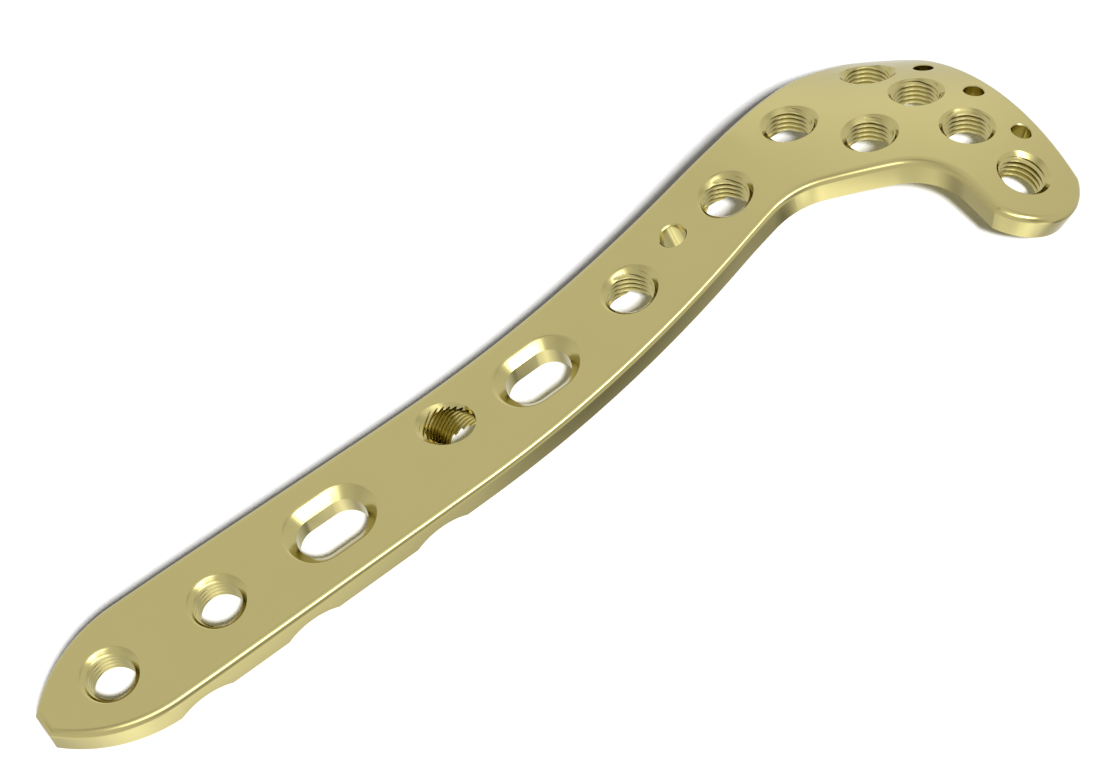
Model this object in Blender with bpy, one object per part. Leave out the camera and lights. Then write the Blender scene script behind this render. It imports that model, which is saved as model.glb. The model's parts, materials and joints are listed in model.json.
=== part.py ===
"""Contoured bone plate for the outer front of the left lower shin, one solid piece of titanium.

The plate is laid out flat, as the milled blank is: u runs along it from the nose, v runs across
it towards the plate's left, and w is height above the top face. The blank is then bent, twisted
and crowned to the bone, and its holes are drilled along their own axes. Metres, +Z up.
"""

import math

import bmesh
import bpy
from mathutils import Matrix, Vector

MM = 0.001

# Blank
THICKNESS = 3.35 * MM
PLATE_END = 118.4 * MM
HEAD_LENGTH = 27.0 * MM
NECK_LENGTH = 27.4 * MM
TOP_EDGE_RADIUS = 0.6 * MM
TOP_EDGE_STEPS = 3
BOTTOM_EDGE_BREAK = 0.25 * MM

# The head and the neck are set out back from the plate's end, and the shaft fills the rest
HEAD_START = PLATE_END - HEAD_LENGTH
NECK_START = HEAD_START - NECK_LENGTH

# Nose and shaft outline
NOSE_HALF_FACET = 1.4 * MM
NOSE_RADIUS = 16.0 * MM
SHOULDER_HALF_WIDTH = 6.8 * MM

# Lower edge, from the shaft to the hook
LOWER_BEND = (NECK_START + 1.7 * MM, -6.7 * MM)
LOWER_BEND_RADIUS = 166.0 * MM
NECK_CREST = (HEAD_START + 0.4 * MM, -0.8 * MM)
NECK_CREST_RADIUS = 8.5 * MM
HOOK_ROOT_V = -7.75 * MM
HOOK_ROOT_RADIUS = 7.5 * MM
HOOK_RADIUS = 6.35 * MM
HOOK_CORNER_ANGLE = math.radians(24)

# Upper edge, from the head back to the shaft
END_CORNER = (PLATE_END, 15.7 * MM)
END_CORNER_RADIUS = 7.4 * MM
SHOULDER_RUN = 10.6 * MM
HEAD_SHOULDER = (HEAD_START + SHOULDER_RUN, 14.5 * MM)
HEAD_SHOULDER_RADIUS = 25.0 * MM
HEAD_ROOT = (HEAD_START, 11.4 * MM)
HEAD_ROOT_RADIUS = 30.0 * MM
UPPER_BEND = (NECK_START - 1.5 * MM, 6.3 * MM)
UPPER_BEND_RADIUS = 210.0 * MM
LARGEST_SHARE = 0.98

# Forming: stations along the plate, and the slope and the turn in degrees reached at each
BEND_LEAD = 14.0 * MM
RISE_LEAD = 6.0 * MM
FALL_RUN = 12.2 * MM
PITCH_STATIONS = [0.0 * MM, NECK_START - BEND_LEAD, HEAD_START - RISE_LEAD,
                  HEAD_START + FALL_RUN, PLATE_END]
PITCH_ANGLES = [0, 0, -8.4, 7.9, 29]
TWIST_STATIONS = [0.0 * MM, 18.5 * MM, NECK_START + 7.5 * MM, PLATE_END]
TWIST_ANGLES = [0, 0, 8.5, 16.8]
CROWN_START = HEAD_START + 0.3 * MM
CROWN_RADIUS = 28.5 * MM

# The side walls stand along the shaft's vertical up to one station, and square to the face
# from the next
WALL_LEAN_START = HEAD_START - 6.4 * MM
WALL_LEAN_END = HEAD_START + 12.6 * MM

# Screw holes, given at their rim. A countersink stands square to the surface, and the bore
# below it follows an aim: the head's screws run nearly parallel to the ankle joint
RIM_RADIUS = 3.0 * MM
BORE_RADIUS = 2.35 * MM
SINK_FLOOR_RADIUS = 1.5 * MM
SHAFT_SCREWS = [(8.1 * MM, 0.1 * MM), (20.7 * MM, 0.0 * MM)]
NECK_SCREW_RUNS = [8.7 * MM, 22.6 * MM]
NECK_SCREWS = [(NECK_START + NECK_SCREW_RUNS[0], 2.0 * MM),
               (NECK_START + NECK_SCREW_RUNS[1], 4.2 * MM)]
HEAD_SCREW_RUNS = [5.8 * MM, 10.65 * MM]
HEAD_SCREWS = [(HEAD_START + HEAD_SCREW_RUNS[0], 7.4 * MM),
               (HEAD_START + HEAD_SCREW_RUNS[1], -0.2 * MM)]
END_SCREWS = [(PLATE_END - 9.0 * MM, 9.35 * MM), (PLATE_END - 8.35 * MM, 2.15 * MM),
              (PLATE_END - 8.3 * MM, -5.85 * MM)]
HOOK_SCREW = (PLATE_END - 7.7 * MM, -14.1 * MM)
SHAFT_AIM = (0, 0, 1)
HEAD_AIM = (0.14, 0.05, 0.99)
HOOK_AIM = (0.39, -0.1, 0.92)

# One steep screw hole that aims down towards the head, with a narrow slanting countersink
STEEP_SCREW = (NECK_START - 14.5 * MM, 1.95 * MM)
STEEP_TILT = math.radians(39)
STEEP_HEADING = math.radians(-43)
STEEP_BORE_RADIUS = 2.1 * MM
STEEP_SINK_WIDTH = 0.48 * MM
SINK_OVERRUN = 1.1

# Compression slots: a long one by the nose and a short one by the neck. A countersink stands
# square to the surface, and the slot below it runs down the shaft's own vertical
LONG_SLOT = (34.2 * MM, 0.0 * MM)
LONG_SLOT_STRAIGHT = 2.85 * MM
LONG_SLOT_RIM_RADIUS = 3.57 * MM
SHORT_SLOT = (NECK_START - 3.95 * MM, 0.7 * MM)
SHORT_SLOT_STRAIGHT = 2.3 * MM
SHORT_SLOT_RIM_RADIUS = 3.5 * MM
SLOT_BORE_RADIUS = 2.45 * MM
SLOT_AIM = (0, 0, 1)

# Guide wire holes
NECK_WIRE_RUN = 15.7 * MM
NECK_WIRE_HOLE = (NECK_START + NECK_WIRE_RUN, 4.2 * MM)
NECK_WIRE_RADIUS = 1.4 * MM
END_WIRE_HOLES = [(PLATE_END - 3.65 * MM, 6.25 * MM), (PLATE_END - 3.7 * MM, -1.5 * MM),
                  (PLATE_END - 4.1 * MM, -9.3 * MM)]
END_WIRE_RADIUS = 1.07 * MM

# Hollows across the underside, between the first holes
SCALLOP_STATIONS = [14.4 * MM, 27.2 * MM, 42.8 * MM]
SCALLOP_RADIUS = 5.0 * MM
SCALLOP_DEPTH = 1.25 * MM

# How the plate lies on a table: on its nose, the head's left corner and the hook
REST_PITCH = math.radians(-1.16)
REST_ROLL = math.radians(10.8)

# Fineness of the faces
ARC_STEP = math.radians(10)
ARC_CHORD = 3.0 * MM
ROUND_SIDES = 36
WIRE_SIDES = 20
SCALLOP_SIDES = 40
CELL_LENGTH = 3.0 * MM
CELL_WIDTH = 3.0 * MM
CELL_SNAP = 0.2 * MM
NORMAL_STEP = 0.05 * MM
LEVEL_TOLERANCE = 0.0001 * MM
OVERCUT = 2.0 * MM
SHARP_ANGLE = math.radians(30)


def clear_scene():
    for old in list(bpy.data.objects):
        bpy.data.objects.remove(old, do_unlink=True)


def arc_points(centre, radius, start, end):
    """Points along an arc, with both ends."""
    sweep = abs(end - start)
    count = math.ceil(max(sweep / ARC_STEP, sweep * radius / ARC_CHORD))
    points = []
    for i in range(count + 1):
        angle = start + (end - start) * i / count
        points.append(centre + radius * Vector((math.cos(angle), math.sin(angle))))
    return points


def half_angle(before, corner, after):
    return (before - corner).angle(after - corner) / 2


def rounded_corner(before, corner, after, reach):
    """The arc that rounds one corner and takes up the given reach of both its sides."""
    to_before = (before - corner).normalized()
    to_after = (after - corner).normalized()
    half = half_angle(before, corner, after)
    radius = reach * math.tan(half)
    start = corner + to_before * reach
    end = corner + to_after * reach
    middle = (to_before + to_after).normalized()
    centre = corner + middle * (radius / math.sin(half))
    first = math.atan2(*(start - centre).yx)
    last = math.atan2(*(end - centre).yx)
    sweep = (last - first + math.pi) % (2 * math.pi) - math.pi
    return arc_points(centre, radius, first, first + sweep)


def rounded(corners):
    """The points of a closed outline. Neighbouring arcs share the side between them."""
    count = len(corners)
    reaches = []
    for i, (corner, radius) in enumerate(corners):
        before = corners[i - 1][0]
        after = corners[(i + 1) % count][0]
        reaches.append(radius / math.tan(half_angle(before, corner, after)))
    points = []
    for i, (corner, radius) in enumerate(corners):
        if radius == 0:
            points.append(corner)
            continue
        share = 1
        for j in (i - 1, (i + 1) % count):
            side = (corners[j][0] - corner).length
            share = min(share, LARGEST_SHARE * side / (reaches[i] + reaches[j]))
        before = corners[i - 1][0]
        after = corners[(i + 1) % count][0]
        points.extend(rounded_corner(before, corner, after, share * reaches[i]))
    return points


def nose_arc():
    """The nose's lower side, from the corner of its end facet to where the shaft begins."""
    drop = NOSE_RADIUS - SHOULDER_HALF_WIDTH
    length = math.sqrt(NOSE_RADIUS ** 2 - (drop + NOSE_HALF_FACET) ** 2)
    start = math.atan2(-NOSE_HALF_FACET - drop, -length)
    return arc_points(Vector((length, drop)), NOSE_RADIUS, start, -math.pi / 2)


def hook_end():
    """The hook's round end, centred on its screw hole, from the inner side to the end edge."""
    return arc_points(Vector(HOOK_SCREW), HOOK_RADIUS, math.pi + HOOK_CORNER_ANGLE,
                      2 * math.pi - HOOK_CORNER_ANGLE)


def outline():
    """The blank's outline, anticlockwise seen from above."""
    hook = hook_end()
    nose = nose_arc()
    mirrored_nose = [Vector((point.x, -point.y)) for point in reversed(nose)]
    lower = [
        (Vector(LOWER_BEND), LOWER_BEND_RADIUS),
        (Vector(NECK_CREST), NECK_CREST_RADIUS),
        (Vector((hook[0].x, HOOK_ROOT_V)), HOOK_ROOT_RADIUS),
    ]
    upper = [
        (Vector(END_CORNER), END_CORNER_RADIUS),
        (Vector(HEAD_SHOULDER), HEAD_SHOULDER_RADIUS),
        (Vector(HEAD_ROOT), HEAD_ROOT_RADIUS),
        (Vector(UPPER_BEND), UPPER_BEND_RADIUS),
    ]
    corners = [(point, 0) for point in nose] + lower
    corners += [(point, 0) for point in hook] + upper
    corners += [(point, 0) for point in mirrored_nose]
    return rounded(corners)


def value_at(stations, angles, u):
    """A forming angle, straight between its stations."""
    i = 1
    while i < len(stations) - 1 and u > stations[i]:
        i += 1
    part = (u - stations[i - 1]) / (stations[i] - stations[i - 1])
    return math.radians(angles[i - 1] + (angles[i] - angles[i - 1]) * min(part, 1))


def spine_point(u):
    """The middle line of the top face, made of straight runs and arcs."""
    x = 0.0
    z = 0.0
    for u0, u1 in zip(PITCH_STATIONS, PITCH_STATIONS[1:]):
        run = min(u, u1) - u0
        start = value_at(PITCH_STATIONS, PITCH_ANGLES, u0)
        end = value_at(PITCH_STATIONS, PITCH_ANGLES, u0 + run)
        if start == end:
            x += run * math.cos(start)
            z -= run * math.sin(start)
        else:
            bend = (end - start) / run
            x += (math.sin(end) - math.sin(start)) / bend
            z += (math.cos(end) - math.cos(start)) / bend
        if u <= u1:
            break
    return Vector((x, 0, z))


def frame_at(u, v):
    """Point on the formed top face, with its directions along, across and out."""
    pitch = value_at(PITCH_STATIONS, PITCH_ANGLES, u)
    twist = value_at(TWIST_STATIONS, TWIST_ANGLES, u)
    along = Vector((math.cos(pitch), 0, -math.sin(pitch)))
    turn = Matrix.Rotation(-twist, 3, along)
    across = turn @ Vector((0, 1, 0))
    out = along.cross(across)
    point = spine_point(u)
    if u <= CROWN_START:
        return point + across * v, along, across, out
    radius = CROWN_RADIUS * (PLATE_END - CROWN_START) / (u - CROWN_START)
    angle = v / radius
    point = point + across * radius * math.sin(angle) - out * radius * (1 - math.cos(angle))
    lean = Matrix.Rotation(-angle, 3, along)
    return point, along, lean @ across, lean @ out


def formed(u, v, w):
    """A formed point. Walls stand along the shaft's vertical, and square to the face at the head."""
    point, along, across, out = frame_at(u, v)
    lean = (u - WALL_LEAN_START) / (WALL_LEAN_END - WALL_LEAN_START)
    wall = Vector((0, 0, 1)).lerp(out, min(max(lean, 0), 1))
    return point + wall * (w / wall.dot(out))


def surface_normal(u, v):
    """True normal of the formed top face."""
    along = formed(u + NORMAL_STEP, v, 0) - formed(u - NORMAL_STEP, v, 0)
    across = formed(u, v + NORMAL_STEP, 0) - formed(u, v - NORMAL_STEP, 0)
    return along.cross(across).normalized()


def slice_blank(bm, size, axis):
    """Cuts the blank into strips so that it can bend."""
    values = [vert.co[axis] for vert in bm.verts]
    normal = Vector((0, 0, 0))
    normal[axis] = 1
    position = math.floor(min(values) / size + 1) * size
    while position < max(values):
        geometry = bm.verts[:] + bm.edges[:] + bm.faces[:]
        bmesh.ops.bisect_plane(bm, geom=geometry, dist=CELL_SNAP, plane_co=normal * position,
                               plane_no=normal)
        position += size


def edges_at(bm, height):
    """The blank's edges at one height."""
    return [edge for edge in bm.edges
            if all(abs(vert.co.z - height) < LEVEL_TOLERANCE for vert in edge.verts)]


def make_blank():
    """The flat blank with its rounded top edge and broken bottom edge, cut into cells."""
    bm = bmesh.new()
    floor = [bm.verts.new((p.x, p.y, -THICKNESS)) for p in outline()]
    bottom = bm.faces.new(floor)
    raised = bmesh.ops.extrude_face_region(bm, geom=[bottom])["geom"]
    lifted = [item for item in raised if isinstance(item, bmesh.types.BMVert)]
    bmesh.ops.translate(bm, verts=lifted, vec=(0, 0, THICKNESS))
    bmesh.ops.recalc_face_normals(bm, faces=bm.faces[:])
    bmesh.ops.bevel(bm, geom=edges_at(bm, 0), offset=TOP_EDGE_RADIUS, offset_type="OFFSET",
                    segments=TOP_EDGE_STEPS, profile=0.5, affect="EDGES")
    bmesh.ops.bevel(bm, geom=edges_at(bm, -THICKNESS), offset=BOTTOM_EDGE_BREAK,
                    offset_type="OFFSET", segments=1, profile=0.5, affect="EDGES")
    slice_blank(bm, CELL_LENGTH, 0)
    slice_blank(bm, CELL_WIDTH, 1)
    return bm


def form_blank(bm):
    """Bends, twists and crowns the flat blank."""
    bmesh.ops.triangulate(bm, faces=bm.faces[:])
    for vert in bm.verts:
        vert.co = formed(*vert.co)
    bmesh.ops.recalc_face_normals(bm, faces=bm.faces[:])


def settle(bm):
    """Turns the plate as it lies on a table and sets the middle of its footprint at the origin."""
    turn = Matrix.Rotation(REST_PITCH, 4, "Y") @ Matrix.Rotation(REST_ROLL, 4, "X")
    spots = [turn @ vert.co for vert in bm.verts]
    low = [min(spot[axis] for spot in spots) for axis in range(3)]
    high = [max(spot[axis] for spot in spots) for axis in range(3)]
    centre = Vector(((low[0] + high[0]) / 2, (low[1] + high[1]) / 2, low[2]))
    return Matrix.Translation(-centre) @ turn


def titanium():
    """Gold-anodised titanium with a satin finish."""
    material = bpy.data.materials.new("anodised_titanium")
    material.use_nodes = True
    shader = material.node_tree.nodes["Principled BSDF"]
    shader.inputs["Base Color"].default_value = (0.56, 0.47, 0.20, 1)
    shader.inputs["Metallic"].default_value = 1.0
    shader.inputs["Roughness"].default_value = 0.32
    return material


def add_object(name, bm, collection):
    mesh = bpy.data.meshes.new(name)
    bm.to_mesh(mesh)
    bm.free()
    thing = bpy.data.objects.new(name, mesh)
    collection.objects.link(thing)
    return thing


def add_cutter(name, bm, placed, plate, collection):
    """A cutting tool, hidden from renders and carried by the plate."""
    bmesh.ops.recalc_face_normals(bm, faces=bm.faces[:])
    cutter = add_object(name, bm, collection)
    cutter.parent = plate
    cutter.matrix_local = placed
    cutter.hide_render = True
    cutter.display_type = "WIRE"
    return cutter


def stack_rings(rings):
    """A closed solid through rings of points, lowest ring first."""
    bm = bmesh.new()
    levels = [[bm.verts.new(point) for point in ring] for ring in rings]
    bm.faces.new(list(reversed(levels[0])))
    for lower, upper in zip(levels, levels[1:]):
        for i in range(len(lower)):
            j = (i + 1) % len(lower)
            bm.faces.new((lower[i], lower[j], upper[j], upper[i]))
    bm.faces.new(levels[-1])
    return bm


def ring(radius, straight, sides, height):
    """A round ring, or a slot's ring where straight is more than nothing."""
    points = []
    for i in range(sides):
        angle = 2 * math.pi * (i + 0.5) / sides
        shift = math.copysign(straight / 2, math.cos(angle))
        points.append((radius * math.cos(angle) + shift, radius * math.sin(angle), height))
    return points


def oval_ring(half_length, half_width, shift, sides, height):
    """An elliptical ring moved along its own length."""
    points = []
    for i in range(sides):
        angle = 2 * math.pi * (i + 0.5) / sides
        points.append((half_length * math.cos(angle) + shift, half_width * math.sin(angle), height))
    return points


def axes_at(u, v, up):
    """A frame on the top face at u, v whose z axis is up and whose x axis runs along the plate."""
    up = up.normalized()
    across = up.cross(frame_at(u, v)[1]).normalized()
    columns = Matrix((across.cross(up), across, up)).transposed()
    return Matrix.Translation(formed(u, v, 0)) @ columns.to_4x4()


def square_axes(u, v):
    """The frame of a hole that stands square to the surface."""
    return axes_at(u, v, surface_normal(u, v))


def steep_axes():
    """The frame over the steep hole, its x axis along the heading."""
    return square_axes(*STEEP_SCREW) @ Matrix.Rotation(STEEP_HEADING, 4, "Z")


def drilled(radius, straight, sides):
    """A plain hole's tool."""
    reach = 2 * THICKNESS
    return stack_rings([ring(radius, straight, sides, -reach),
                        ring(radius, straight, sides, reach)])


def sink(rim, floor, straight, sides):
    """A 45 degree countersink's tool, down to a narrow floor that its bore takes away."""
    depth = rim - floor
    return stack_rings([ring(floor, straight, sides, -depth),
                        ring(rim + depth, straight, sides, depth)])


def add_aimed_hole(name, place, aim, plate, tools):
    """A countersink square to the surface over a bore that follows its aim."""
    cone = sink(RIM_RADIUS, SINK_FLOOR_RADIUS, 0, ROUND_SIDES)
    add_cutter(f"{name}_sink", cone, square_axes(*place), plate, tools)
    bore = drilled(BORE_RADIUS, 0, ROUND_SIDES)
    add_cutter(f"{name}_bore", bore, axes_at(*place, Vector(aim)), plate, tools)


def add_screw_holes(plate, tools):
    for number, place in enumerate(SHAFT_SCREWS, 1):
        add_aimed_hole(f"shaft_screw_{number}", place, SHAFT_AIM, plate, tools)
    for number, place in enumerate(NECK_SCREWS + HEAD_SCREWS + END_SCREWS, 1):
        add_aimed_hole(f"head_screw_{number}", place, HEAD_AIM, plate, tools)
    add_aimed_hole("hook_screw", HOOK_SCREW, HOOK_AIM, plate, tools)


def steep_sink():
    """A slanting countersink's tool, as wide all round as its margin beyond the bore."""
    rings = []
    for height in (-SINK_OVERRUN * STEEP_SINK_WIDTH, STEEP_SINK_WIDTH):
        margin = STEEP_SINK_WIDTH + height
        rings.append(oval_ring(STEEP_BORE_RADIUS / math.cos(STEEP_TILT) + margin,
                               STEEP_BORE_RADIUS + margin, -height * math.tan(STEEP_TILT),
                               ROUND_SIDES, height))
    return stack_rings(rings)


def add_steep_hole(plate, tools):
    """The steep hole. Its foot moves towards the heading as it goes down."""
    add_cutter("steep_screw_sink", steep_sink(), steep_axes(), plate, tools)
    bore = drilled(STEEP_BORE_RADIUS, 0, ROUND_SIDES)
    placed = steep_axes() @ Matrix.Rotation(-STEEP_TILT, 4, "Y")
    add_cutter("steep_screw_bore", bore, placed, plate, tools)


def add_slot(name, place, straight, rim, plate, tools):
    cone = sink(rim, SINK_FLOOR_RADIUS, straight, ROUND_SIDES)
    add_cutter(f"{name}_sink", cone, square_axes(*place), plate, tools)
    bore = drilled(SLOT_BORE_RADIUS, straight, ROUND_SIDES)
    add_cutter(f"{name}_bore", bore, axes_at(*place, Vector(SLOT_AIM)), plate, tools)


def add_slots(plate, tools):
    add_slot("long_slot", LONG_SLOT, LONG_SLOT_STRAIGHT, LONG_SLOT_RIM_RADIUS, plate, tools)
    add_slot("short_slot", SHORT_SLOT, SHORT_SLOT_STRAIGHT, SHORT_SLOT_RIM_RADIUS, plate, tools)


def add_wire_holes(plate, tools):
    holes = [(NECK_WIRE_HOLE, NECK_WIRE_RADIUS)]
    holes += [(place, END_WIRE_RADIUS) for place in END_WIRE_HOLES]
    for number, (place, radius) in enumerate(holes, 1):
        tool = drilled(radius, 0, WIRE_SIDES)
        add_cutter(f"wire_hole_{number}", tool, square_axes(*place), plate, tools)


def add_scallops(plate, tools):
    """Cylinders laid across the underside, their lowest part left outside the plate."""
    half_span = SHOULDER_HALF_WIDTH + OVERCUT
    for number, u in enumerate(SCALLOP_STATIONS, 1):
        point, along, across, out = frame_at(u, 0)
        centre = point - out * (THICKNESS + SCALLOP_RADIUS - SCALLOP_DEPTH)
        columns = Matrix((along, -out, across)).transposed()
        placed = Matrix.Translation(centre) @ columns.to_4x4()
        tool = stack_rings([ring(SCALLOP_RADIUS, 0, SCALLOP_SIDES, -half_span),
                            ring(SCALLOP_RADIUS, 0, SCALLOP_SIDES, half_span)])
        add_cutter(f"scallop_{number}", tool, placed, plate, tools)


def cut_with(plate, tools):
    cut = plate.modifiers.new(tools.name, "BOOLEAN")
    cut.operation = "DIFFERENCE"
    cut.operand_type = "COLLECTION"
    cut.collection = tools
    cut.solver = "EXACT"


def add_tools(name):
    tools = bpy.data.collections.new(name)
    bpy.context.scene.collection.children.link(tools)
    return tools


def build_plate():
    blank = make_blank()
    form_blank(blank)
    placed = settle(blank)
    plate = add_object("plate", blank, bpy.context.scene.collection)
    plate.matrix_world = placed
    plate.data.materials.append(titanium())
    scallops = add_tools("scallops")
    add_scallops(plate, scallops)
    cut_with(plate, scallops)
    holes = add_tools("holes")
    add_screw_holes(plate, holes)
    add_steep_hole(plate, holes)
    add_slots(plate, holes)
    add_wire_holes(plate, holes)
    cut_with(plate, holes)
    plate.data.shade_smooth()
    plate.data.set_sharp_from_angle(angle=SHARP_ANGLE)


clear_scene()
build_plate()
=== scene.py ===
"""The looks of a contoured bone plate: the plate in fine mesh with its threads, satin
gold-anodised titanium, and a plain white table in a white room.

The plate is laid out flat first: u runs along it from the nose, v across it and w above its top
face. Metres throughout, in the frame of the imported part.
"""

import json
import math

import bmesh
import bpy
import numpy as np
from mathutils import Euler, Matrix, Vector

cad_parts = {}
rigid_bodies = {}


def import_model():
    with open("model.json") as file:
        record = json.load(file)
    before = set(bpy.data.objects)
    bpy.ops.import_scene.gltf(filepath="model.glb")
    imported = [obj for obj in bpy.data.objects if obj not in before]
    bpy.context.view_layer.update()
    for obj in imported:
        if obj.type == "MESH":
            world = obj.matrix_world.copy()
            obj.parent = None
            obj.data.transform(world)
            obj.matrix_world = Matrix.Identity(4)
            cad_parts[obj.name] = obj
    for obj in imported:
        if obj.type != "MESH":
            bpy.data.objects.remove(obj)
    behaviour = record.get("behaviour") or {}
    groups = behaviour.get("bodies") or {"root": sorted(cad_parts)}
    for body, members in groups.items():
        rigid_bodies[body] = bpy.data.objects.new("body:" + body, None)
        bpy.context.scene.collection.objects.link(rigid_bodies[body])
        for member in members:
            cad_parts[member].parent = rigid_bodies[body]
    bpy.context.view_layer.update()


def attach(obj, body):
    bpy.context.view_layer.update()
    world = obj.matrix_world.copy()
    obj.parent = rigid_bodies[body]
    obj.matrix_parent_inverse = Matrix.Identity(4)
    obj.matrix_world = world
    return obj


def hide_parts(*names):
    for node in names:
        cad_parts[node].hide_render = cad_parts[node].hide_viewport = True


MM = 0.001

# Blank
THICKNESS = 3.35 * MM
PLATE_END = 118.4 * MM
TOP_EDGE_RADIUS = 0.8 * MM
TOP_EDGE_STEPS = 8
BOTTOM_EDGE_BREAK = 0.25 * MM
BOTTOM_EDGE_STEPS = 1

# Outline
NOSE_HALF_FACET = 1.4 * MM
NOSE_RADIUS = 16.0 * MM
SHOULDER_HALF_WIDTH = 6.8 * MM
LOWER_BEND = (65.7 * MM, -6.7 * MM)
LOWER_BEND_RADIUS = 166.0 * MM
NECK_CREST = (91.8 * MM, -0.8 * MM)
NECK_CREST_RADIUS = 8.5 * MM
HOOK_ROOT_V = -7.75 * MM
HOOK_ROOT_RADIUS = 7.5 * MM
HOOK_RADIUS = 6.35 * MM
HOOK_CORNER_ANGLE = math.radians(24)
END_CORNER = (PLATE_END, 15.7 * MM)
END_CORNER_RADIUS = 7.4 * MM
HEAD_SHOULDER = (102.0 * MM, 14.5 * MM)
HEAD_SHOULDER_RADIUS = 25.0 * MM
HEAD_ROOT = (91.4 * MM, 11.4 * MM)
HEAD_ROOT_RADIUS = 30.0 * MM
UPPER_BEND = (62.5 * MM, 6.3 * MM)
UPPER_BEND_RADIUS = 210.0 * MM
LARGEST_SHARE = 0.98

# Forming
PITCH_STATIONS = [0.0 * MM, 50.0 * MM, 85.4 * MM, 103.6 * MM, PLATE_END]
PITCH_ANGLES = [0, 0, -8.4, 7.9, 29]
TWIST_STATIONS = [0.0 * MM, 18.5 * MM, 71.5 * MM, PLATE_END]
TWIST_ANGLES = [0, 0, 8.5, 16.8]
CROWN_START = 91.7 * MM
CROWN_RADIUS = 28.5 * MM
WALL_LEAN_START = 85.0 * MM
WALL_LEAN_END = 104.0 * MM

# Countersinks, and the eased lip between them and the face: how wide it is, how far it reaches
# beyond the rim, how far its tool runs on above the face, and its slopes from inside out
SINK_FLOOR_RADIUS = 1.5 * MM
EASE_WIDTH = 0.24 * MM
EASE_OVERHANG = 0.15 * MM
EASE_OVERRUN = 1.0 * MM
EASE_SLOPES = [math.radians(38), math.radians(31), math.radians(24)]

# Screw holes, placed by the middles of their rims
RIM_RADIUS = 3.0 * MM
CREST_RADIUS = 2.35 * MM
ROOT_RADIUS = 2.68 * MM
THREAD_PITCH = 0.65 * MM
TAP_DEPTH = 1.5 * THICKNESS
TAP_HEIGHT = 0.5 * THICKNESS
SHAFT_SCREWS = [(8.1 * MM, 0.1 * MM), (20.7 * MM, 0.0 * MM)]
NECK_SCREWS = [(72.7 * MM, 2.0 * MM), (86.6 * MM, 4.2 * MM)]
HEAD_SCREWS = [(97.2 * MM, 7.4 * MM), (102.05 * MM, -0.2 * MM)]
END_SCREWS = [(109.4 * MM, 9.35 * MM), (110.05 * MM, 2.15 * MM), (110.1 * MM, -5.85 * MM)]
HOOK_SCREW = (110.7 * MM, -14.1 * MM)
SHAFT_AIM = (0, 0, 1)
HEAD_AIM = (0.14, 0.05, 0.99)
HOOK_AIM = (0.39, -0.1, 0.92)
STEEP_SCREW = (49.5 * MM, 1.95 * MM)
STEEP_TILT = math.radians(39)
STEEP_HEADING = math.radians(-43)
STEEP_CREST_RADIUS = 2.1 * MM
STEEP_ROOT_RADIUS = 2.32 * MM
STEEP_THREAD_PITCH = 0.4 * MM
STEEP_SINK_WIDTH = 0.48 * MM
STEEP_SINK_SHARE = 1.1
STEEP_TAP_DEPTH = 2.2 * THICKNESS
STEEP_TAP_HEIGHT = THICKNESS

# Slots and guide wire holes
LONG_SLOT = (34.2 * MM, 0.0 * MM)
LONG_SLOT_STRAIGHT = 2.85 * MM
LONG_SLOT_RIM_RADIUS = 3.57 * MM
SHORT_SLOT = (60.05 * MM, 0.7 * MM)
SHORT_SLOT_STRAIGHT = 2.3 * MM
SHORT_SLOT_RIM_RADIUS = 3.5 * MM
SLOT_BORE_RADIUS = 2.45 * MM
NECK_WIRE_HOLE = (79.7 * MM, 4.2 * MM)
NECK_WIRE_RADIUS = 1.4 * MM
END_WIRE_HOLES = [(114.75 * MM, 6.25 * MM), (114.7 * MM, -1.5 * MM), (114.3 * MM, -9.3 * MM)]
END_WIRE_RADIUS = 1.07 * MM
WIRE_BREAK = 0.12 * MM
BORE_REACH = 2 * THICKNESS

# Hollows across the underside
SCALLOP_STATIONS = [14.4 * MM, 27.2 * MM, 42.8 * MM]
SCALLOP_RADIUS = 5.0 * MM
SCALLOP_DEPTH = 1.25 * MM
SCALLOP_HALF_SPAN = 8.8 * MM

# How the plate lies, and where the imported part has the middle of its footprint
REST_PITCH = math.radians(-1.16)
REST_ROLL = math.radians(10.8)
REST_SHIFT = (-58.2844 * MM, 2.9845 * MM, 4.302 * MM)

# One turn of a thread, from crest to crest: the share of the pitch and the share of the depth
THREAD_FORM = [(0.0, 0.0), (0.16, 0.0), (0.34, 0.75), (0.44, 1.0), (0.6, 1.0), (0.7, 0.75),
               (0.88, 0.0)]

# Fineness of the mesh
ARC_STEP = math.radians(4)
ARC_CHORD = 0.8 * MM
CELL = 1.5 * MM
CELL_SNAP = 0.02 * MM
ROUND_SIDES = 72
THREAD_SIDES = 64
SCALLOP_SIDES = 144
NORMAL_STEP = 0.02 * MM
FLATTEN_STEPS = 12
LEVEL_TOLERANCE = 0.0001 * MM
MERGE_DISTANCE = 0.001 * MM
FACE_TOLERANCE = 0.002 * MM
SHARP_ANGLE = math.radians(20)

# Titanium: its two tints, its least and greatest roughness, and its grain
LIGHT_CLOUD_TINT = (0.560, 0.492, 0.208, 1)
DARK_CLOUD_TINT = (0.530, 0.468, 0.197, 1)
CLOUD_SCALE = 160
CLOUD_DETAIL = 2
SATIN = (0.12, 0.17)
GRAIN_SCALE = 3200
GRAIN_DETAIL = 3
GRAIN_STRENGTH = 0.06
GRAIN_DEPTH = 0.02 * MM

# Table
TABLE_HALF_WIDTH = 3
WHITE = (1, 1, 1, 1)

# Camera
CAMERA_PLACE = (-73.801 * MM, -228.703 * MM, 265.826 * MM)
CAMERA_TURN = (41.0292, 13.8136, -33.5054)
CAMERA_LENS = 116.75
CAMERA_SENSOR = 36

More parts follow.
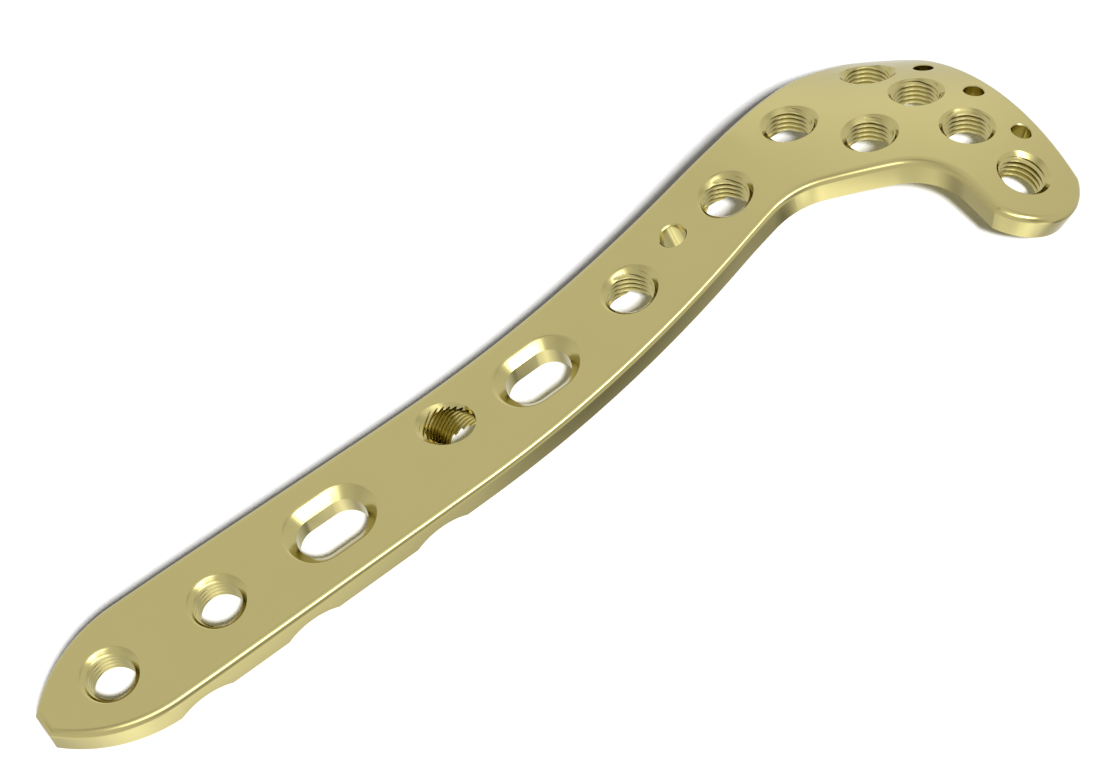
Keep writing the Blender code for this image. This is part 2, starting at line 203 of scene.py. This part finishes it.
# Light: the lamp beside the camera, and how strongly the white room fills its shadow
KEY_PLACE = (-0.31, -1.53, 1.49)
KEY_SIZE = 0.18
KEY_POWER = 65
SHADOW_LEVEL = 0.12

# The room as the metal mirrors it: its plain level, and the soft lamps and the dim sides in it,
# each with its azimuth, elevation, sharpness and strength
ROOM_LEVEL = 0.86
ROOM_LIGHTS = [
    (-108, 36, 60, 2.8),
    (-92, 36, 90, 3.2),
    (-78, 32, 110, 7.5),
    (-66, 32, 110, 4.0),
    (-140, 74, 30, -0.3),
    (-87, 45, 10, 0.3),
    (50, 24, 10, 0.24),
    (178, 35, 8, -0.2),
    (-25, 47, 25, -0.2),
    (-88, -5, 20, -0.45),
    (-130, -64, 30, 0.8),
    (-175, -46, 30, 0.45),
    (-115, -52, 150, 0.7),
    (-88, -50, 150, 1.0),
    (-79, -65, 90, 0.5),
    (-52, -60, 45, -0.5),
    (-18, -58, 10, -0.25),
    (157, -42, 14, -0.45),
]


def arc_points(centre, radius, start, end):
    sweep = abs(end - start)
    count = math.ceil(max(sweep / ARC_STEP, sweep * radius / ARC_CHORD))
    points = []
    for i in range(count + 1):
        angle = start + (end - start) * i / count
        points.append(centre + radius * Vector((math.cos(angle), math.sin(angle))))
    return points


def half_angle(before, corner, after):
    return (before - corner).angle(after - corner) / 2


def rounded_corner(before, corner, after, reach):
    to_before = (before - corner).normalized()
    to_after = (after - corner).normalized()
    half = half_angle(before, corner, after)
    radius = reach * math.tan(half)
    start = corner + to_before * reach
    end = corner + to_after * reach
    middle = (to_before + to_after).normalized()
    centre = corner + middle * (radius / math.sin(half))
    first = math.atan2(*(start - centre).yx)
    last = math.atan2(*(end - centre).yx)
    sweep = (last - first + math.pi) % (2 * math.pi) - math.pi
    return arc_points(centre, radius, first, first + sweep)


def rounded(corners):
    """The points of a closed outline. Neighbouring arcs share the side between them."""
    count = len(corners)
    reaches = []
    for i, (corner, radius) in enumerate(corners):
        before = corners[i - 1][0]
        after = corners[(i + 1) % count][0]
        reaches.append(radius / math.tan(half_angle(before, corner, after)))
    points = []
    for i, (corner, radius) in enumerate(corners):
        if radius == 0:
            points.append(corner)
            continue
        share = 1
        for j in (i - 1, (i + 1) % count):
            side = (corners[j][0] - corner).length
            share = min(share, LARGEST_SHARE * side / (reaches[i] + reaches[j]))
        before = corners[i - 1][0]
        after = corners[(i + 1) % count][0]
        points.extend(rounded_corner(before, corner, after, share * reaches[i]))
    return points


def nose_arc():
    drop = NOSE_RADIUS - SHOULDER_HALF_WIDTH
    length = math.sqrt(NOSE_RADIUS ** 2 - (drop + NOSE_HALF_FACET) ** 2)
    start = math.atan2(-NOSE_HALF_FACET - drop, -length)
    return arc_points(Vector((length, drop)), NOSE_RADIUS, start, -math.pi / 2)


def outline():
    """The blank's outline, anticlockwise seen from above."""
    hook = arc_points(Vector(HOOK_SCREW), HOOK_RADIUS, math.pi + HOOK_CORNER_ANGLE,
                      2 * math.pi - HOOK_CORNER_ANGLE)
    nose = nose_arc()
    mirrored_nose = [Vector((point.x, -point.y)) for point in reversed(nose)]
    corners = [(point, 0) for point in nose]
    corners.append((Vector(LOWER_BEND), LOWER_BEND_RADIUS))
    corners.append((Vector(NECK_CREST), NECK_CREST_RADIUS))
    corners.append((Vector((hook[0].x, HOOK_ROOT_V)), HOOK_ROOT_RADIUS))
    corners += [(point, 0) for point in hook]
    corners.append((Vector(END_CORNER), END_CORNER_RADIUS))
    corners.append((Vector(HEAD_SHOULDER), HEAD_SHOULDER_RADIUS))
    corners.append((Vector(HEAD_ROOT), HEAD_ROOT_RADIUS))
    corners.append((Vector(UPPER_BEND), UPPER_BEND_RADIUS))
    corners += [(point, 0) for point in mirrored_nose]
    return rounded(corners)


def spine(u):
    """The middle line of the top face, for an array of stations."""
    x = np.zeros_like(u)
    z = np.zeros_like(u)
    ends = np.radians(PITCH_ANGLES)
    for i in range(len(PITCH_STATIONS) - 1):
        length = PITCH_STATIONS[i + 1] - PITCH_STATIONS[i]
        run = np.clip(u - PITCH_STATIONS[i], 0, length)
        bend = (ends[i + 1] - ends[i]) / length
        if bend == 0:
            x += run * math.cos(ends[i])
            z -= run * math.sin(ends[i])
        else:
            slope = ends[i] + bend * run
            x += (np.sin(slope) - math.sin(ends[i])) / bend
            z += (np.cos(slope) - math.cos(ends[i])) / bend
    return np.stack([x, np.zeros_like(u), z], 1)


def frames(u, v):
    """Points on the formed top face with their directions along and out."""
    pitch = np.radians(np.interp(u, PITCH_STATIONS, PITCH_ANGLES))
    twist = np.radians(np.interp(u, TWIST_STATIONS, TWIST_ANGLES))
    zero = np.zeros_like(u)
    along = np.stack([np.cos(pitch), zero, -np.sin(pitch)], 1)
    level = np.stack([zero, zero + 1, zero], 1)
    upright = np.stack([np.sin(pitch), zero, np.cos(pitch)], 1)
    cos_twist = np.cos(twist)[:, None]
    sin_twist = np.sin(twist)[:, None]
    across = level * cos_twist - upright * sin_twist
    out = upright * cos_twist + level * sin_twist
    curve = np.clip(u - CROWN_START, 0, None) / (CROWN_RADIUS * (PLATE_END - CROWN_START))
    angle = v * curve
    side = v * np.sinc(angle / math.pi)
    drop = v * np.sin(angle / 2) * np.sinc(angle / 2 / math.pi)
    point = spine(u) + across * side[:, None] - out * drop[:, None]
    lean = out * np.cos(angle)[:, None] + across * np.sin(angle)[:, None]
    return point, along, lean


def formed(flat):
    """Formed points for rows of u, v, w."""
    point, along, out = frames(flat[:, 0], flat[:, 1])
    lean = (flat[:, 0] - WALL_LEAN_START) / (WALL_LEAN_END - WALL_LEAN_START)
    lean = np.clip(lean, 0, 1)[:, None]
    wall = np.array([0, 0, 1]) * (1 - lean) + out * lean
    return point + wall * (flat[:, 2] / (wall * out).sum(1))[:, None]


def normals(flat):
    """True normals of the formed surface through rows of u, v, w."""
    step_u = np.array([NORMAL_STEP, 0, 0])
    step_v = np.array([0, NORMAL_STEP, 0])
    along = formed(flat + step_u) - formed(flat - step_u)
    across = formed(flat + step_v) - formed(flat - step_v)
    normal = np.cross(along, across)
    return normal / np.linalg.norm(normal, axis=1)[:, None]


def flattened(points):
    """The u, v, w of formed points, found step by step."""
    flat = np.array(points, float)
    flat[:, 2] = 0
    for _ in range(FLATTEN_STEPS):
        miss = points - formed(flat)
        jacobian = np.stack([(formed(flat + step) - formed(flat - step)) / (2 * NORMAL_STEP)
                             for step in np.eye(3) * NORMAL_STEP], 2)
        flat += np.linalg.solve(jacobian, miss[:, :, None])[:, :, 0]
    return flat


def slice_blank(bm, axis):
    """Cuts the blank's faces into cells along one axis, so that they can follow the forming."""
    values = [vert.co[axis] for vert in bm.verts]
    normal = Vector((0, 0, 0))
    normal[axis] = 1
    position = math.floor(min(values) / CELL + 1) * CELL
    while position < max(values):
        geometry = bm.verts[:] + bm.edges[:] + bm.faces[:]
        bmesh.ops.bisect_plane(bm, geom=geometry, dist=CELL_SNAP, plane_co=normal * position,
                               plane_no=normal)
        position += CELL


def edges_at(bm, height):
    return [edge for edge in bm.edges
            if all(abs(vert.co.z - height) < LEVEL_TOLERANCE for vert in edge.verts)]


def make_blank():
    """The plate without its holes, formed."""
    bm = bmesh.new()
    bottom = bm.faces.new([bm.verts.new((p.x, p.y, -THICKNESS)) for p in outline()])
    raised = bmesh.ops.extrude_face_region(bm, geom=[bottom])["geom"]
    lifted = [item for item in raised if isinstance(item, bmesh.types.BMVert)]
    bmesh.ops.translate(bm, verts=lifted, vec=(0, 0, THICKNESS))
    bmesh.ops.recalc_face_normals(bm, faces=bm.faces[:])
    bmesh.ops.bevel(bm, geom=edges_at(bm, 0), offset=TOP_EDGE_RADIUS, offset_type="OFFSET",
                    segments=TOP_EDGE_STEPS, profile=0.5, affect="EDGES")
    bmesh.ops.bevel(bm, geom=edges_at(bm, -THICKNESS), offset=BOTTOM_EDGE_BREAK,
                    offset_type="OFFSET", segments=BOTTOM_EDGE_STEPS, profile=0.5, affect="EDGES")
    slice_blank(bm, 0)
    slice_blank(bm, 1)
    bmesh.ops.triangulate(bm, faces=bm.faces[:])
    flat = np.array([vert.co[:] for vert in bm.verts])
    for vert, place in zip(bm.verts, formed(flat)):
        vert.co = place
    bmesh.ops.recalc_face_normals(bm, faces=bm.faces[:])
    return bm


def add_object(name, bm, collection):
    mesh = bpy.data.meshes.new(name)
    bm.to_mesh(mesh)
    bm.free()
    thing = bpy.data.objects.new(name, mesh)
    collection.objects.link(thing)
    return thing


def stack_rings(rings):
    """A closed solid through rings of points, lowest ring first."""
    bm = bmesh.new()
    levels = [[bm.verts.new(point) for point in points] for points in rings]
    bm.faces.new(list(reversed(levels[0])))
    for lower, upper in zip(levels, levels[1:]):
        for i in range(len(lower)):
            j = (i + 1) % len(lower)
            bm.faces.new((lower[i], lower[j], upper[j], upper[i]))
    bm.faces.new(levels[-1])
    return bm


def ring(radius, straight, height, sides=ROUND_SIDES):
    points = []
    for i in range(sides):
        angle = 2 * math.pi * (i + 0.5) / sides
        shift = math.copysign(straight / 2, math.cos(angle))
        points.append((radius * math.cos(angle) + shift, radius * math.sin(angle), height))
    return points


def oval_ring(half_length, half_width, shift, height):
    points = []
    for i in range(ROUND_SIDES):
        angle = 2 * math.pi * (i + 0.5) / ROUND_SIDES
        points.append((half_length * math.cos(angle) + shift, half_width * math.sin(angle), height))
    return points


def drilled(radius, straight):
    """A round bore's tool, or a slot's where there is a straight."""
    return stack_rings([ring(radius, straight, -BORE_REACH), ring(radius, straight, BORE_REACH)])


def sink(rim, straight):
    """A 45 degree countersink's tool whose rim eases out into the surface in shallower steps."""
    step = EASE_WIDTH / len(EASE_SLOPES)
    height = -step * sum(math.tan(slope) for slope in EASE_SLOPES)
    radius = rim + EASE_OVERHANG - EASE_WIDTH
    floor = height - radius + SINK_FLOOR_RADIUS
    rings = [ring(SINK_FLOOR_RADIUS, straight, floor), ring(radius, straight, height)]
    for slope in EASE_SLOPES:
        run = step if slope > EASE_SLOPES[-1] else step + EASE_OVERRUN
        radius += run
        height += run * math.tan(slope)
        rings.append(ring(radius, straight, height))
    return stack_rings(rings)


def rim_break(radius):
    """A small 45 degree break round a guide wire hole."""
    return stack_rings([ring(radius - WIRE_BREAK, 0, -2 * WIRE_BREAK),
                        ring(radius + 2 * WIRE_BREAK, 0, WIRE_BREAK)])


def steep_sink():
    """The steep hole's oval countersink, which leans with the hole."""
    rings = []
    for height in (-STEEP_SINK_SHARE * STEEP_SINK_WIDTH, STEEP_SINK_WIDTH):
        margin = STEEP_SINK_WIDTH + height
        rings.append(oval_ring(STEEP_CREST_RADIUS / math.cos(STEEP_TILT) + margin,
                               STEEP_CREST_RADIUS + margin, -height * math.tan(STEEP_TILT),
                               height))
    return stack_rings(rings)


def tapped(crest, root, pitch, below, above):
    """A closed solid in the shape of a tap: one rising thread between two heights."""
    bm = bmesh.new()
    form = len(THREAD_FORM)
    turns = math.ceil((above + below) / pitch)
    rows = []
    for row in range(turns * form):
        part, depth = THREAD_FORM[row % form]
        base = (row // form + part) * pitch - below
        radius = crest + (root - crest) * depth
        points = []
        for i in range(THREAD_SIDES):
            angle = 2 * math.pi * i / THREAD_SIDES
            height = base + pitch * i / THREAD_SIDES
            place = (radius * math.cos(angle), radius * math.sin(angle), height)
            points.append(bm.verts.new(place))
        rows.append(points)
    for lower, upper in zip(rows, rows[1:]):
        for i in range(THREAD_SIDES - 1):
            bm.faces.new((lower[i], lower[i + 1], upper[i + 1], upper[i]))
    last = THREAD_SIDES - 1
    for row in range(len(rows) - form - 1):
        bm.faces.new((rows[row][last], rows[row + form][0], rows[row + form + 1][0],
                      rows[row + 1][last]))
    start = bm.verts.new((0, 0, -below - pitch))
    finish = bm.verts.new((0, 0, above + 2 * pitch))
    foot = rows[0] + [rows[row][0] for row in range(form, -1, -1)]
    for lower, upper in zip(foot, foot[1:]):
        bm.faces.new((start, upper, lower))
    seam = [rows[row][last] for row in range(len(rows) - form - 1, len(rows))]
    head = rows[-1][:-1] + list(reversed(seam)) + [rows[-1][0]]
    for lower, upper in zip(head, head[1:]):
        bm.faces.new((finish, lower, upper))
    return bm


def axes_at(place, up):
    """A frame on the top face whose z axis is up and whose x axis runs along the plate."""
    flat = np.array([[place[0], place[1], 0.0]])
    along = Vector(frames(flat[:, 0], flat[:, 1])[1][0])
    up = Vector(up).normalized()
    across = up.cross(along).normalized()
    columns = Matrix((across.cross(up), across, up)).transposed()
    return Matrix.Translation(Vector(formed(flat)[0])) @ columns.to_4x4()


def square_axes(place):
    return axes_at(place, normals(np.array([[place[0], place[1], 0.0]]))[0])


def add_tool(name, bm, placed, tools):
    """A cutting tool, placed in the plate's own frame."""
    bmesh.ops.recalc_face_normals(bm, faces=bm.faces[:])
    bm.transform(placed)
    add_object(name, bm, tools)


def add_hole_tools(tools):
    screws = [(place, SHAFT_AIM) for place in SHAFT_SCREWS]
    screws += [(place, HEAD_AIM) for place in NECK_SCREWS + HEAD_SCREWS + END_SCREWS]
    screws.append((HOOK_SCREW, HOOK_AIM))
    for number, (place, aim) in enumerate(screws, 1):
        add_tool(f"sink_{number}", sink(RIM_RADIUS, 0), square_axes(place), tools)
        tap = tapped(CREST_RADIUS, ROOT_RADIUS, THREAD_PITCH, TAP_DEPTH, TAP_HEIGHT)
        add_tool(f"tap_{number}", tap, axes_at(place, aim), tools)
    turned = square_axes(STEEP_SCREW) @ Matrix.Rotation(STEEP_HEADING, 4, "Z")
    add_tool("steep_sink", steep_sink(), turned, tools)
    tap = tapped(STEEP_CREST_RADIUS, STEEP_ROOT_RADIUS, STEEP_THREAD_PITCH,
                 STEEP_TAP_DEPTH, STEEP_TAP_HEIGHT)
    add_tool("steep_tap", tap, turned @ Matrix.Rotation(-STEEP_TILT, 4, "Y"), tools)
    slots = [(LONG_SLOT, LONG_SLOT_STRAIGHT, LONG_SLOT_RIM_RADIUS),
             (SHORT_SLOT, SHORT_SLOT_STRAIGHT, SHORT_SLOT_RIM_RADIUS)]
    for number, (place, straight, rim) in enumerate(slots, 1):
        add_tool(f"slot_sink_{number}", sink(rim, straight), square_axes(place), tools)
        add_tool(f"slot_{number}", drilled(SLOT_BORE_RADIUS, straight),
                 axes_at(place, SHAFT_AIM), tools)
    wires = [(NECK_WIRE_HOLE, NECK_WIRE_RADIUS)]
    wires += [(place, END_WIRE_RADIUS) for place in END_WIRE_HOLES]
    for number, (place, radius) in enumerate(wires, 1):
        add_tool(f"wire_{number}", drilled(radius, 0), square_axes(place), tools)
        add_tool(f"wire_break_{number}", rim_break(radius), square_axes(place), tools)


def add_scallop_tools(tools):
    for number, u in enumerate(SCALLOP_STATIONS, 1):
        point, along, out = (Vector(rows[0]) for rows in frames(np.array([u]), np.array([0.0])))
        centre = point - out * (THICKNESS + SCALLOP_RADIUS - SCALLOP_DEPTH)
        columns = Matrix((along, -out, out.cross(along))).transposed()
        tool = stack_rings([ring(SCALLOP_RADIUS, 0, -SCALLOP_HALF_SPAN, SCALLOP_SIDES),
                            ring(SCALLOP_RADIUS, 0, SCALLOP_HALF_SPAN, SCALLOP_SIDES)])
        add_tool(f"scallop_{number}", tool, Matrix.Translation(centre) @ columns.to_4x4(), tools)


def cut_with(plate, tools):
    cut = plate.modifiers.new(tools.name, "BOOLEAN")
    cut.operation = "DIFFERENCE"
    cut.operand_type = "COLLECTION"
    cut.collection = tools
    cut.solver = "EXACT"


def add_tools(name):
    tools = bpy.data.collections.new(name)
    bpy.context.scene.collection.children.link(tools)
    return tools


def merge_close_points(mesh):
    """Joins the points that the cuts leave almost on one another and drops the slivers between."""
    bm = bmesh.new()
    bm.from_mesh(mesh)
    bmesh.ops.remove_doubles(bm, verts=bm.verts[:], dist=MERGE_DISTANCE)
    bmesh.ops.dissolve_degenerate(bm, edges=bm.edges[:], dist=MERGE_DISTANCE)
    bmesh.ops.triangulate(bm, faces=bm.faces[:], ngon_method="BEAUTY")
    bm.to_mesh(mesh)
    bm.free()


def smooth_normals(mesh):
    """Keeps machined edges sharp and gives the broad faces the true normals of their forms."""
    mesh.shade_smooth()
    mesh.set_sharp_from_angle(angle=SHARP_ANGLE)
    count = len(mesh.loops)
    given = np.zeros(count * 3, np.float32)
    mesh.corner_normals.foreach_get("vector", given)
    given = given.reshape(-1, 3)
    places = np.zeros(len(mesh.vertices) * 3, np.float32)
    mesh.vertices.foreach_get("co", places)
    places = places.reshape(-1, 3).astype(float)
    flat = flattened(places)
    corner = np.zeros(count, np.int32)
    mesh.loops.foreach_get("vertex_index", corner)
    for level, side in ((0.0, 1), (-THICKNESS, -1)):
        on_face = np.abs(flat[:, 2] - level) < FACE_TOLERANCE
        true = normals(flat) * side
        agree = (true[corner] * given).sum(1) > math.cos(SHARP_ANGLE / 2)
        chosen = on_face[corner] & agree
        given[chosen] = true[corner][chosen]
    mesh.normals_split_custom_set(given.tolist())


def build_plate(material):
    plate = add_object("anodised_plate", make_blank(), bpy.context.scene.collection)
    scallops = add_tools("scallop_tools")
    add_scallop_tools(scallops)
    cut_with(plate, scallops)
    holes = add_tools("hole_tools")
    add_hole_tools(holes)
    cut_with(plate, holes)
    evaluated = plate.evaluated_get(bpy.context.evaluated_depsgraph_get())
    mesh = bpy.data.meshes.new_from_object(evaluated)
    plate.modifiers.clear()
    plate.data = mesh
    for tools in (scallops, holes):
        for tool in list(tools.objects):
            bpy.data.objects.remove(tool, do_unlink=True)
        bpy.data.collections.remove(tools)
    merge_close_points(mesh)
    smooth_normals(mesh)
    turn = Matrix.Rotation(REST_PITCH, 4, "Y") @ Matrix.Rotation(REST_ROLL, 4, "X")
    mesh.transform(Matrix.Translation(REST_SHIFT) @ turn)
    mesh.materials.clear()
    mesh.materials.append(material)
    return plate


def titanium():
    """Gold-anodised titanium, blasted to a fine satin grain."""
    material = bpy.data.materials.new("satin_gold_titanium")
    material.use_nodes = True
    nodes = material.node_tree.nodes
    links = material.node_tree.links
    shader = nodes["Principled BSDF"]
    shader.inputs["Metallic"].default_value = 1.0
    place = nodes.new("ShaderNodeTexCoord")
    grain = nodes.new("ShaderNodeTexNoise")
    grain.inputs["Scale"].default_value = GRAIN_SCALE
    grain.inputs["Detail"].default_value = GRAIN_DETAIL
    links.new(place.outputs["Object"], grain.inputs["Vector"])
    cloud = nodes.new("ShaderNodeTexNoise")
    cloud.inputs["Scale"].default_value = CLOUD_SCALE
    cloud.inputs["Detail"].default_value = CLOUD_DETAIL
    links.new(place.outputs["Object"], cloud.inputs["Vector"])
    tint = nodes.new("ShaderNodeMix")
    tint.data_type = "RGBA"
    tint.inputs["A"].default_value = DARK_CLOUD_TINT
    tint.inputs["B"].default_value = LIGHT_CLOUD_TINT
    links.new(cloud.outputs["Fac"], tint.inputs["Factor"])
    links.new(tint.outputs["Result"], shader.inputs["Base Color"])
    satin = nodes.new("ShaderNodeMapRange")
    satin.inputs["To Min"].default_value = SATIN[0]
    satin.inputs["To Max"].default_value = SATIN[1]
    links.new(grain.outputs["Fac"], satin.inputs["Value"])
    links.new(satin.outputs["Result"], shader.inputs["Roughness"])
    bump = nodes.new("ShaderNodeBump")
    bump.inputs["Strength"].default_value = GRAIN_STRENGTH
    bump.inputs["Distance"].default_value = GRAIN_DEPTH
    links.new(grain.outputs["Fac"], bump.inputs["Height"])
    links.new(bump.outputs["Normal"], shader.inputs["Normal"])
    return material


def white_table():
    """A plain white table that keeps the plate's shadow and isn't mirrored by the plate."""
    bm = bmesh.new()
    bmesh.ops.create_grid(bm, x_segments=1, y_segments=1, size=TABLE_HALF_WIDTH)
    floor = add_object("table_top", bm, bpy.context.scene.collection)
    material = bpy.data.materials.new("white_table")
    material.use_nodes = True
    shader = material.node_tree.nodes["Principled BSDF"]
    shader.inputs["Base Color"].default_value = WHITE
    shader.inputs["Roughness"].default_value = 1
    shader.inputs["Specular IOR Level"].default_value = 0
    floor.data.materials.append(material)
    floor.visible_glossy = False


def mirrored_room(nodes, links):
    """How bright the room is in each direction, as the metal mirrors it."""
    direction = nodes.new("ShaderNodeTexCoord").outputs["Generated"]
    level = nodes.new("ShaderNodeValue")
    level.outputs[0].default_value = ROOM_LEVEL
    total = level.outputs[0]
    for azimuth, elevation, sharpness, strength in ROOM_LIGHTS:
        turn = Euler((0, math.radians(-elevation), math.radians(azimuth)), "XYZ")
        facing = nodes.new("ShaderNodeVectorMath")
        facing.operation = "DOT_PRODUCT"
        facing.inputs[1].default_value = turn.to_matrix() @ Vector((1, 0, 0))
        links.new(direction, facing.inputs[0])
        front = nodes.new("ShaderNodeMath")
        front.operation = "MAXIMUM"
        front.inputs[1].default_value = 0
        links.new(facing.outputs["Value"], front.inputs[0])
        glow = nodes.new("ShaderNodeMath")
        glow.operation = "POWER"
        glow.inputs[1].default_value = sharpness
        links.new(front.outputs[0], glow.inputs[0])
        added = nodes.new("ShaderNodeMath")
        added.operation = "MULTIPLY_ADD"
        added.inputs[1].default_value = strength
        links.new(glow.outputs[0], added.inputs[0])
        links.new(total, added.inputs[2])
        total = added.outputs[0]
    return total


def white_room():
    """A plain white room: white where it is seen, lit by soft lamps where it is mirrored, and
    dim where it fills the shadow."""
    world = bpy.data.worlds.new("white_room")
    bpy.context.scene.world = world
    world.use_nodes = True
    nodes = world.node_tree.nodes
    links = world.node_tree.links
    path = nodes.new("ShaderNodeLightPath")
    level = nodes.new("ShaderNodeValue")
    level.outputs[0].default_value = SHADOW_LEVEL
    level = level.outputs[0]
    seen = [("Is Glossy Ray", mirrored_room(nodes, links)), ("Is Camera Ray", None),
            ("Is Transmission Ray", None)]
    for name, shown in seen:
        chosen = nodes.new("ShaderNodeMix")
        links.new(path.outputs[name], chosen.inputs["Factor"])
        links.new(level, chosen.inputs["A"])
        chosen.inputs["B"].default_value = 1
        if shown is not None:
            links.new(shown, chosen.inputs["B"])
        level = chosen.outputs["Result"]
    background = nodes["Background"]
    background.inputs["Color"].default_value = WHITE
    links.new(level, background.inputs["Strength"])


def add_key_lamp():
    """A square soft lamp that faces the plate and isn't mirrored by it."""
    light = bpy.data.lights.new("key_lamp", "AREA")
    light.size = KEY_SIZE
    light.energy = KEY_POWER
    lamp = bpy.data.objects.new("key_lamp", light)
    lamp.location = KEY_PLACE
    lamp.rotation_euler = (-Vector(KEY_PLACE)).to_track_quat("-Z", "Y").to_euler()
    lamp.visible_glossy = False
    bpy.context.scene.collection.objects.link(lamp)


def add_camera():
    data = bpy.data.cameras.new("camera")
    data.lens = CAMERA_LENS
    data.sensor_width = CAMERA_SENSOR
    data.clip_start = 1 * MM
    camera = bpy.data.objects.new("camera", data)
    camera.location = CAMERA_PLACE
    camera.rotation_euler = Euler([math.radians(angle) for angle in CAMERA_TURN], "XYZ")
    bpy.context.scene.collection.objects.link(camera)
    bpy.context.scene.camera = camera


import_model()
bpy.context.scene.view_settings.view_transform = "Standard"
add_camera()
plate = build_plate(titanium())
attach(plate, "root")
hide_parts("plate")
white_table()
white_room()
add_key_lamp()
